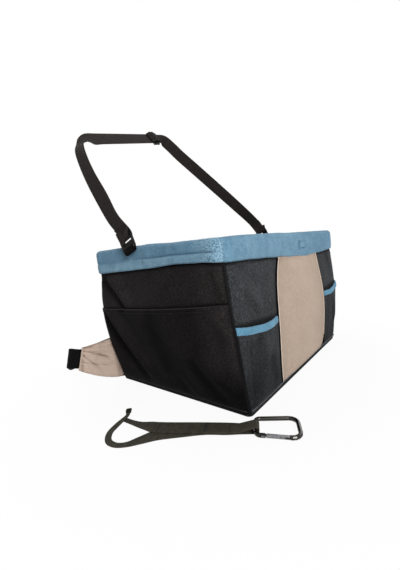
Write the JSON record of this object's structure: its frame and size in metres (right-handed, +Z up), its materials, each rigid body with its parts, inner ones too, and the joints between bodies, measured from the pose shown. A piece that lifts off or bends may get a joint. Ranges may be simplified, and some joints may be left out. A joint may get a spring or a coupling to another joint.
{
  "type": "dog car seat",
  "caption": "Soft-sided tub seat for a small dog, with a fleece rim and cushion, pockets, a headrest strap, a seat-back belt with a side-release buckle, and a loose tether with a carabiner.",
  "frame": {"origin": "centre of the tub's flat underside", "axes": "+X to the right along the tub's width, -Y out of the front panel, +Y towards the car's seat back, +Z up"},
  "size_m": [0.579, 0.5146, 0.4969],
  "materials": {
    "black_polyester": "matte woven polyester, charcoal black",
    "black_cord": "black covered cord",
    "khaki_polyester": "matte woven polyester, warm khaki",
    "blue_fleece": "short plush fleece, dusty blue",
    "blue_binding": "soft edge binding, blue",
    "stiffening_board": "plain stiffening board, hidden in the walls",
    "hoop_steel": "plain drawn steel",
    "strap_webbing": "black polyester webbing with a slight sheen",
    "tether_webbing": "olive black flat webbing",
    "black_acetal": "moulded black acetal, satin",
    "black_aluminium": "gunmetal black anodised aluminium"
  },
  "bodies": {
    "tub": {"outer_panel_front": "black_polyester", "outer_panel_right": "black_polyester", "outer_panel_rear": "black_polyester", "outer_panel_left": "black_polyester", "corner_welt_front_right": "black_cord", "corner_welt_rear_right": "black_cord", "corner_welt_rear_left": "black_cord", "corner_welt_front_left": "black_cord", "wall_board_front": "stiffening_board", "wall_board_right": "stiffening_board", "wall_board_rear": "stiffening_board", "wall_board_left": "stiffening_board", "base_board": "stiffening_board", "base_cover": "black_polyester", "base_piping": "black_cord", "fleece_lining": "blue_fleece", "rim_band_front": "blue_fleece", "rim_band_right": "blue_fleece", "rim_band_rear": "blue_fleece", "rim_band_left": "blue_fleece", "rim_hoop": "hoop_steel", "band_patch": "blue_fleece", "front_centre_panel": "khaki_polyester", "centre_piping_left": "black_cord", "centre_piping_right": "black_cord", "front_pocket_left": "black_polyester", "front_pocket_right": "black_polyester", "pocket_binding_left": "blue_binding", "pocket_binding_right": "blue_binding", "side_pocket_left": "black_polyester", "side_pocket_right": "black_polyester", "belt_wing_left": "khaki_polyester", "belt_wing_right": "khaki_polyester", "belt_webbing_left": "strap_webbing", "buckle_socket": "black_acetal"},
    "cushion": {"seat_cushion": "blue_fleece"},
    "strap": {"strap_lock_left": "black_acetal", "strap_lock_right": "black_acetal", "strap_tab_left": "strap_webbing", "strap_tab_right": "strap_webbing", "headrest_strap": "strap_webbing"},
    "slider": {"strap_slider": "black_acetal", "slider_lap": "strap_webbing"},
    "belt": {"belt_webbing_right": "strap_webbing", "buckle_plug": "black_acetal"},
    "tether": {"tether_webbing": "tether_webbing", "tether_tip": "black_acetal"},
    "carabiner": {"carabiner_body": "black_aluminium", "gate_pin": "hoop_steel"},
    "gate": {"carabiner_gate": "black_aluminium"}
  },
  "joints": [
    {"name": "cushion_lift", "type": "slide", "parent": "tub", "child": "cushion", "axis": [0, 0, 1], "range_m": [0, 0.19]},
    {"name": "strap_swing", "type": "hinge", "parent": "tub", "child": "strap", "pos_m": [0, 0.025, 0.233], "axis": [1, 0, 0], "range_deg": [-40, 80]},
    {"name": "slider_slide", "type": "slide", "parent": "strap", "child": "slider", "axis": [-0.96, -0.1401, -0.2426], "range_m": [0, 0.065]},
    {"name": "belt_release", "type": "slide", "parent": "tub", "child": "belt", "axis": [1, 0, 0], "range_m": [0, 0.03]},
    {"name": "tether_lift", "type": "slide", "parent": "tub", "child": "tether", "axis": [-0.6124, -0.3536, 0.7071], "range_m": [0, 0.2]},
    {"name": "carabiner_swing", "type": "hinge", "parent": "tether", "child": "carabiner", "pos_m": [-0.195, -0.154, 0.0047], "axis": [-0.866, -0.5, 0], "range_deg": [0, 85]},
    {"name": "carabiner_gate", "type": "hinge", "parent": "carabiner", "child": "gate", "pos_m": [-0.20547, -0.16931, 0.00443], "axis": [0.0168, -0.0291, 0.9994], "range_deg": [0, 25], "stiffness_Nm_per_rad": 0.01, "springref_deg": -11.46}
  ]
}
